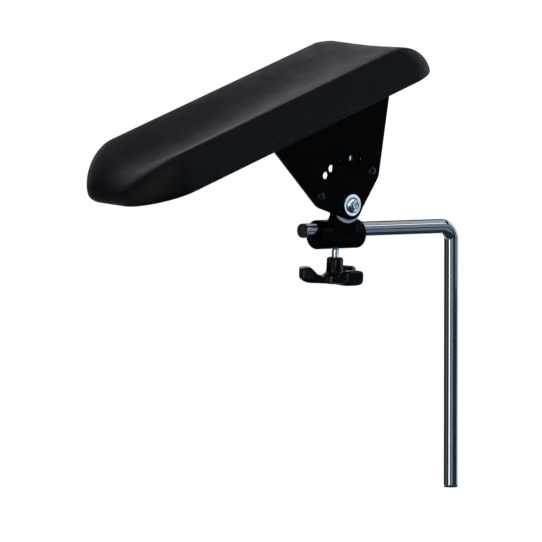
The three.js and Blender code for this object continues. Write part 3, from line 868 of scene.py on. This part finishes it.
def knob():
    """Ribbed hub and arms grown into one moulding, with a stud socket and a dimple below."""

    def profile(level, *points):
        return [(radius, level + height) for radius, height in points]

    hub = profile(KNOB_BOTTOM, (0, 0), (11, 0), (11, 7), (7.4, 10))
    hub += profile(KNOB_TOP, (6.7, 0), (0, 0))
    parts = [turned(soften(hub, 1.2, 4), 72)]
    rib = profile(KNOB_BOTTOM, (0, 6), (1.0, 6)) + profile(KNOB_TOP, (0.9, -1.2), (0, -0.9))
    for index in range(KNOB_RIBS):
        turn = math.radians(360 / KNOB_RIBS * index)
        place = Matrix.Translation((6.5 * math.cos(turn), 6.5 * math.sin(turn), 0))
        parts.append((place, turned(rib, 12)))
    for index in range(KNOB_ARMS):
        turn = math.radians(KNOB_FIRST_ARM + 360 / KNOB_ARMS * index)
        parts.append((Matrix.Rotation(turn, 4, "Z"), knob_arm()))
    socket = turned(profile(KNOB_TOP, (0, 2), (4.4, 2), (3.2, -0.6), (3.2, -11), (0, -11)), 64)
    dimple = turned(profile(KNOB_BOTTOM, (0, -2), (7, -2), (6.2, 1), (0, 1)), 64)
    return fused(join(*parts), 4, [socket, dimple])


piece("three_arm_knob", knob(), CLAMP, KNOB, "knob", "knob_plastic", "clamp_knob", sharp=32)


def knob_stud():
    """Plain where it shows, threaded inside the sleeve."""
    radius, buried = 3.1, 10.5
    plain = bar(radius, KNOB_TOP - buried, STUD_SHOULDER, 0.3)
    return join(plain, thread(SHANK_M6, PITCH_M6, STUD_SHOULDER - 0.4, STUD_TOP))


zinc_piece("knob_threaded_stud", knob_stud(), CLAMP, "knob", "clamp_knob_stud")


# -------- bracket
def bracket_loops():
    """The bracket's flat pattern: web below, then the bend and the flange."""
    shoulder, height = WEB_SHOULDER
    reach = math.hypot(shoulder, height)
    tangent = math.atan2(height, shoulder) - math.acos(FOOT_RADIUS / reach)
    bend = (BEND_INSIDE + SHEET / 2) * math.pi / 2
    bend_start = FLANGE_BOTTOM - BEND_INSIDE
    far = bend_start + bend + FLANGE_WIDTH - SHEET - BEND_INSIDE
    round_end = arc(0, 0, FOOT_RADIUS, math.pi - tangent, 2 * math.pi + tangent, 40)
    corners = [round_end[-1], WEB_SHOULDER, (WEB_TOP_HALF, FLANGE_BOTTOM), (WEB_TOP_HALF, far), (0, far)]
    right = [(point[0], point[1]) for point in soften(corners, WEB_CORNER, 6)[1:-1]]
    left = [(-x, y) for x, y in reversed(right)]
    holes = [circle(0, 0, HOLE_M8)]
    for angle in INDEX_ANGLES:
        x, y = (INDEX_RADIUS * way(math.radians(angle)) for way in (math.cos, math.sin))
        holes.append(circle(x, y, INDEX_HOLE))
    for side in (-1, 1):
        holes.append(circle(side * STOP_OFFSET[0], STOP_OFFSET[1], STOP_NECK + GAP))
    flange_start = bend_start + bend
    for u, w in SCREWS:
        holes.append(circle(u, flange_start + w - (WEB_BACK + BEND_INSIDE), SCREW_HOLE))
    return round_end + right + left, holes, bend_start, bend


def bracket():
    """The flat pattern cut into strips across its bend, then folded."""
    outline, holes, bend_start, bend = bracket_loops()
    bm = flat_sheet(outline, holes, SHEET, 0.3)
    steps = 10
    for step in range(steps + 1):
        everything = bm.verts[:] + bm.edges[:] + bm.faces[:]
        cut = (0, bend_start + bend * step / steps, 0)
        bmesh.ops.bisect_plane(bm, geom=everything, plane_co=cut, plane_no=(0, 1, 0), dist=1e-4)
    neutral = BEND_INSIDE + SHEET / 2
    centre_y = WEB_BACK + BEND_INSIDE
    for vert in bm.verts:
        u, along, out = vert.co
        if along <= bend_start:
            vert.co = (u, centre_y - neutral - out, along)
        elif along < bend_start + bend:
            turn = (along - bend_start) / neutral
            reach = neutral + out
            vert.co = (u, centre_y - reach * math.cos(turn), bend_start + reach * math.sin(turn))
        else:
            run = along - bend_start - bend
            vert.co = (u, centre_y + run, bend_start + neutral + out)
    return bm


piece("folded_bracket", bracket(), PLATE, PAINT, "cradle", "black_paint", "pad_bracket", sharp=12)


def stop_stud():
    """A riveted stud: domed head in front, pin behind, drawn along +Y as Z."""
    front, back, tip = WEB_FRONT - GAP, WEB_BACK + GAP, WEB_BACK + GAP + 8
    turns = [step * math.pi / 24 for step in range(12)]
    dome = [(4.1 * math.sin(t), front - 1.9 * math.cos(t)) for t in turns]
    neck = [(4.2, front), (STOP_NECK, front), (STOP_NECK, back)]
    pin = [(STOP_PIN, back), (STOP_PIN, tip), (0, tip)]
    return turned(dome + soften(neck + pin, 0.3, 3), 64)


for name, side in (("low_side", -1), ("high_side", 1)):
    spot = PLATE @ at(side * STOP_OFFSET[0], 0, STOP_OFFSET[1]) @ TO_Y
    piece(f"stud_{name}", stop_stud(), spot, OXIDE, "cradle", "black_paint", f"stop_stud_{name}")


def socket_screw(head_top, tip):
    """A button head with a hexagon socket, head down, drawn along Z."""
    head_bottom = head_top - 3.6
    outside = [(5.5, head_top), (5.5, head_top - 1.2)]
    outside += [(4.6, head_bottom + 0.5), (3.3, head_bottom)]
    inside = [(2.2, head_bottom), (2.2, head_bottom + 2.0), (0, head_bottom + 2.4)]
    head = turned(soften([(0, head_top), *outside, *inside], 0.35, 4), 72)
    turn_over = Matrix.Rotation(math.pi, 4, "X")
    bmesh.ops.transform(head, matrix=turn_over, verts=head.verts)
    hexagonal(head, 2.4, 1.7 - head_top, 4)
    return join((turn_over, head), thread(SHANK_M6, PITCH_M6, head_top - 0.3, tip))


PAD_WASHER = 1.2
for index, (u, w) in enumerate(SCREWS, start=1):
    spot = PLATE @ at(u, w, 0)
    lower = spot @ at(0, 0, FLANGE_BOTTOM - GAP - PAD_WASHER)
    screw = socket_screw(FLANGE_BOTTOM - PAD_WASHER - 2 * GAP, PAD_BOTTOM + 10.1)
    ring = hollow_bar(HOLE_M6, 6, 0, PAD_WASHER)
    zinc_piece(f"pad_button_screw_{index}", screw, spot, "cradle", f"pad_screw_{index}")
    zinc_piece(f"pad_washer_{index}", ring, lower, "cradle", f"pad_screw_washer_{index}")


# -------- pad
PAD_LENGTH = 329.3
PAD_HALF_WIDTH = 60.1
PAD_HEIGHT = 35.1
PARTING = 4.5  # height of the widest line round the edge
SIDE_TOP_INSET = 9.7
LOW_CORNER = (43, 41)
HIGH_CORNER = (23, 12.5)
TOP_INSETS = (33, 37.5, SIDE_TOP_INSET)  # of the crest, at the low end, high end and sides
BOTTOM_INSETS = (5, 3, 10.4)  # of the underside's edge
CORNER_POWER = 1.7
DEPTH_LOW, DEPTH_HIGH = 13.5, 1.5  # of the trough, at the low end and at the high end
DEPTH_REACH = 120  # from the middle to where each depth is reached
BOARD_ROOM = 0.3  # round the core board in its pocket
POCKET_DEPTH = 11.0
PAD_SMOOTHING = 8


def between(start, end, share):
    """The point this share of the way from start to end."""
    return tuple(a + (b - a) * share for a, b in zip(start, end))


def pad_outline(share, low_inset, high_inset, side_inset):
    """The pad's plan, inset by a share of these amounts at its ends and sides."""
    corner_steps, side_steps, end_steps = 34, 60, 12
    low_inset, high_inset, side_inset = low_inset * share, high_inset * share, side_inset * share
    low_u = -PAD_LENGTH / 2 + low_inset
    high_u = PAD_LENGTH / 2 - high_inset
    half = PAD_HALF_WIDTH - side_inset
    low = (max(LOW_CORNER[0] - low_inset * 0.6, 1), max(LOW_CORNER[1] - side_inset * 0.6, 1))
    high = (max(HIGH_CORNER[0] - high_inset * 0.6, 1), max(HIGH_CORNER[1] - side_inset * 0.6, 1))
    power = 2 / CORNER_POWER
    quarter = []
    for step in range(corner_steps + 1):
        turn = math.pi / 2 * step / corner_steps
        quarter.append((math.cos(turn) ** power, max(0.0, math.sin(turn)) ** power))
    high_corner = [(high_u - high[0] * (1 - c), half - high[1] * (1 - s)) for c, s in quarter]
    low_corner = [(low_u + low[0] * (1 - c), half - low[1] * (1 - s)) for c, s in quarter[::-1]]

    def run(start, end, steps):
        return [between(start, end, step / steps) for step in range(1, steps)]

    half_loop = run((high_u, 0), high_corner[0], end_steps)
    half_loop += high_corner
    half_loop += run(high_corner[-1], low_corner[0], side_steps)
    half_loop += low_corner
    half_loop += run(low_corner[-1], (low_u, 0), end_steps)
    mirrored = [(u, -w) for u, w in reversed(half_loop)]
    return [(high_u, 0.0)] + half_loop + [(low_u, 0.0)] + mirrored


def trough_height(u, w):
    """Height of the top at a point: ridges at the sides, the trough between."""
    across = min(1.0, abs(w) / (PAD_HALF_WIDTH - SIDE_TOP_INSET))
    along = min(1.0, max(0.0, (u + DEPTH_REACH) / (2 * DEPTH_REACH)))
    depth = DEPTH_LOW + (DEPTH_HIGH - DEPTH_LOW) * along**1.7
    steep = max(0.0, math.cos(across * math.pi / 2))
    gentle = 0.5 + 0.5 * math.cos(across * math.pi)
    return PAD_HEIGHT - depth * (0.5 * steep + 0.5 * gentle)


def pocket_edge(u, w):
    """Where the ray from the middle to (u, w) leaves the core board's pocket."""
    length, width = BOARD_LENGTH + 2 * BOARD_ROOM, BOARD_WIDTH + 2 * BOARD_ROOM
    corner = BOARD_CORNER + BOARD_ROOM
    low, high = 0.0, 3.0
    for _ in range(40):
        scale = (low + high) / 2
        x, y = abs(u * scale), abs(w * scale)
        cx, cy = length / 2 - corner, width / 2 - corner
        dx, dy = max(x - cx, 0), max(y - cy, 0)
        if math.hypot(dx, dy) > corner:
            high = scale
        else:
            low = scale
    return (u * low, w * low)


def pad():
    """Rings from the pocket's ceiling out under the pad, round its edge and in over the trough."""
    bm = bmesh.new()
    rings = []

    def add(points):
        rings.append([bm.verts.new(point) for point in points])

    bottom = pad_outline(1, *BOTTOM_INSETS)
    pocket = [pocket_edge(u, w) for u, w in bottom]
    for share in (0.02, 0.5, 1.0):
        add([(u * share, w * share, POCKET_DEPTH) for u, w in pocket])
    for height in (POCKET_DEPTH * 0.5, 0.8, 0.25):
        add([(u, w, height) for u, w in pocket])
    for share in (0.012, 0.05, 0.3, 0.65, 0.92):
        add([(*between(inner, outer, share), 0.0) for inner, outer in zip(pocket, bottom)])
    lower_steps, upper_steps, top_steps = 10, 24, 22
    for step in range(1, lower_steps + 1):
        turn = math.pi / 2 * step / lower_steps
        loop = pad_outline(1 - math.sin(turn), *BOTTOM_INSETS)
        add([(u, w, PARTING * (1 - math.cos(turn))) for u, w in loop])
    for step in range(1, upper_steps + 1):
        turn = math.pi / 2 * step / upper_steps
        crest = pad_outline(1 - math.cos(turn), *TOP_INSETS)
        rise = math.sin(turn)
        add([(u, w, PARTING + (trough_height(u, w) - PARTING) * rise) for u, w in crest])
    reach = PAD_LENGTH / 2 - 70
    spine = [(max(-reach, min(reach, u)), 0.0) for u, w in crest]
    for step in range(1, top_steps + 1):
        points = [between(edge, inside, step / top_steps) for edge, inside in zip(crest, spine)]
        add([(u, w, trough_height(u, w)) for u, w in points])
    skin(bm, rings)
    bm.faces.new(list(reversed(rings[0])))
    bmesh.ops.remove_doubles(bm, verts=bm.verts, dist=0.02)
    place = Matrix.Translation((PAD_MIDDLE_U, MIDDLE_W, PAD_BOTTOM))
    bmesh.ops.transform(bm, matrix=place, verts=bm.verts)
    axes = {f"use_axis_{axis}": True for axis in "xyz"}
    for _ in range(PAD_SMOOTHING):
        bmesh.ops.smooth_vert(bm, verts=bm.verts, factor=0.5, **axes)
    return bm


foam = piece("moulded_pad", pad(), PLATE, SKIN, "cradle", "pad_skin", "pad_foam", sharp=60)


def core_board():
    """A plywood board with rounded corners and a hole for each tee nut."""
    shape = []
    for sx, sy, start in ((1, 1, 0), (-1, 1, 90), (-1, -1, 180), (1, -1, 270)):
        cx = sx * (BOARD_LENGTH / 2 - BOARD_CORNER)
        cy = sy * (BOARD_WIDTH / 2 - BOARD_CORNER)
        shape += arc(cx, cy, BOARD_CORNER, math.radians(start), math.radians(start + 90), 12)
    holes = [circle(u - PAD_MIDDLE_U, w - MIDDLE_W, 4.2, 32) for u, w in SCREWS]
    bm = flat_sheet(shape, holes, BOARD_THICKNESS, 0.5)
    place = Matrix.Translation((PAD_MIDDLE_U, MIDDLE_W, PAD_BOTTOM + 0.1 + BOARD_THICKNESS / 2))
    bmesh.ops.transform(bm, matrix=place, verts=bm.verts)
    return bm


piece("core_board", core_board(), PLATE, PLYWOOD, "cradle", "plywood", "pad_core_board", sharp=30)

# -------- carried-over CAD nodes
CARRIED = {f"pad_tee_nut_{index}": ZINC for index in range(1, 5)}
CARRIED["clamp_pressure_slug"] = BRASS
for node, look in CARRIED.items():
    for material_slot in frame["nodes"][node].material_slots:
        material_slot.material = look

# -------- camera
AZIMUTH, ELEVATION = -41.15, 2.78
DISTANCE = 3.4
LEFT_OF_CLAMP, BELOW_CLAMP = 0.05668, 0.03585


def direction(azimuth, elevation):
    """Unit vector from the clamp; azimuth 0 is -Y, 90 is +X."""
    turn, rise = math.radians(azimuth), math.radians(elevation)
    level = Vector((math.sin(turn), -math.cos(turn), 0)) * math.cos(rise)
    return level + Vector((0, 0, math.sin(rise)))


back = direction(AZIMUTH, ELEVATION)
right = direction(AZIMUTH + 90, 0)
up = back.cross(right)
camera_data = bpy.data.cameras.new("camera")
camera_data.sensor_width = 36
camera_data.lens = 260.8
camera = bpy.data.objects.new("camera", camera_data)
place = CLAMP_CENTRE + back * DISTANCE - right * LEFT_OF_CLAMP - up * BELOW_CLAMP
camera.matrix_world = axes_at(place, right, up, back)
bpy.context.scene.collection.objects.link(camera)
bpy.context.scene.camera = camera


# -------- floor, light
def floor():
    """A white disc that shows to the camera and leaves reflections and shadows alone."""
    bm = turned([(0, 0), (0.9, 0), (0.95, -0.004), (0, -0.004)], 128)
    made = as_object("floor", bm)
    made.location = (-0.1, 0, -0.0006)
    look = Look("floor", 0.9)
    look.colour(look.ramp(look.noise(3, 2), (0.3, 0.9), (0.7, 0.93)))
    look.shader.inputs["Emission Color"].default_value = (1, 1, 1, 1)
    look.shader.inputs["Emission Strength"].default_value = 0.9
    made.data.materials.append(look.material)
    made.visible_glossy = False
    made.visible_diffuse = False
    made.visible_shadow = False


floor()

PANEL_LEVEL, PIVOT_LEVEL = 0.2, 0.25  # heights that the soft boxes are placed from


def panel(name, azimuths, elevations, distance, radiance, colour=(1, 1, 1)):
    """An upright soft box that spans these directions from the clamp."""
    half = math.radians(azimuths[1] - azimuths[0]) / 2
    low, high = (distance * math.tan(math.radians(angle)) for angle in elevations)
    outwards = direction(sum(azimuths) / 2, 0)
    size = (2 * distance * math.tan(half), high - low)
    place = Vector((CLAMP_CENTRE.x, 0, PANEL_LEVEL + (low + high) / 2)) + outwards * distance
    soft_box(name, place, outwards, size, radiance, colour)


def facing_box(name, azimuth, elevation, distance, size, radiance, colour=(1, 1, 1)):
    """A soft box in one direction from the clamp's pivot, turned to face it."""
    outwards = direction(azimuth, elevation)
    place = Vector((CLAMP_CENTRE.x, 0, PIVOT_LEVEL)) + outwards * distance
    return soft_box(name, place, outwards, size, radiance, colour)


def soft_box(name, place, outwards, size, radiance, colour):
    """An area light that shines against its outward direction."""
    data = bpy.data.lights.new(name, "AREA")
    data.shape = "RECTANGLE"
    data.size, data.size_y = size
    data.energy = 4 * size[0] * size[1] * radiance
    data.color = colour
    made = bpy.data.objects.new(name, data)
    made.location = place
    made.rotation_mode = "QUATERNION"
    made.rotation_quaternion = outwards.to_track_quat("Z", "Y")
    made.visible_camera = False
    bpy.context.scene.collection.objects.link(made)
    return made


BLUE = (0.66, 0.83, 1.0)
PALE = (0.95, 0.98, 1.0)
panel("white_strip", (-78, -61), (-14, 36), 2.4, 1.35)
panel("left_fill", (-46, -12), (-16, 16), 2.4, 0.2, BLUE)
panel("right_wall", (70, 118), (-14, 30), 2.4, 0.6, (0.84, 0.94, 1.0))
panel("far_left", (-134, -113), (-16, 20), 2.2, 0.085, (1.0, 0.86, 0.72))
panel("behind", (136, 180), (10, 42), 2.2, 0.8, (0.92, 0.93, 1.0))
panel("front_high", (-50, 25), (20, 48), 2.4, 0.13, (0.92, 0.94, 1.0))
panel("arm_fill", (30, 57), (-3.4, 27), 2.4, 0.2, BLUE)
facing_box("arm_line", 49, 31.5, 1.9, (0.75, 0.17), 1.3)
facing_box("arm_top", 90, 47, 1.9, (1.4, 0.6), 0.33, (0.9, 0.95, 1.0))
facing_box("top", -80, 80, 1.9, (2.2, 2.2), 0.14, (0.94, 0.97, 1.0))
DOWN = Vector((0, 0, -1))
BELOW_FLOOR = -0.3
soft_box("floor_right", Vector((0.82, -0.95, BELOW_FLOOR)), DOWN, (1.3, 1.3), 0.14, BLUE)
soft_box("floor_left", Vector((-1.5, 0.5, BELOW_FLOOR)), DOWN, (1.5, 1.6), 0.08, PALE)
soft_box("floor_back", Vector((0.1, 1.5, BELOW_FLOOR)), DOWN, (1.8, 1.7), 0.4, PALE)

# These shine on the zinc and nylon pieces only.
fittings = bpy.data.collections.new("bright_fittings")
for made in bpy.data.objects:
    if made.type == "MESH" and {slot.material for slot in made.material_slots} & {ZINC, NYLON}:
        fittings.objects.link(made)
for light in (
    facing_box("fittings_right", 38, -6, 1.4, (0.9, 0.6), 0.85, (0.86, 0.94, 1.0)),
    facing_box("fittings_top", -12, 52, 1.4, (1.5, 0.9), 1.3, (0.75, 0.95, 1.0)),
    facing_box("fittings_low", 70, -34, 1.4, (0.9, 0.9), 0.8, (0.7, 0.92, 1.0)),
    facing_box("fittings_left", -60, 22, 1.4, (1.5, 1.3), 0.85, (0.75, 0.92, 1.0)),
):
    light.light_linking.receiver_collection = fittings

world = bpy.data.worlds.new("studio")
world.use_nodes = True
bpy.context.scene.world = world
nodes, links = world.node_tree.nodes, world.node_tree.links
dim = nodes["Background"]
dim.inputs["Color"].default_value = (0.013, 0.027, 0.04, 1)
white = nodes.new("ShaderNodeBackground")
white.inputs["Color"].default_value = (1, 1, 1, 1)
white.inputs["Strength"].default_value = 1.05
ray = nodes.new("ShaderNodeLightPath")
backdrop = nodes.new("ShaderNodeMixShader")
links.new(ray.outputs["Is Camera Ray"], backdrop.inputs[0])
links.new(dim.outputs[0], backdrop.inputs[1])
links.new(white.outputs[0], backdrop.inputs[2])
links.new(backdrop.outputs[0], nodes["World Output"].inputs["Surface"])

view = bpy.context.scene.view_settings
view.view_transform = "Standard"
view.look = "None"
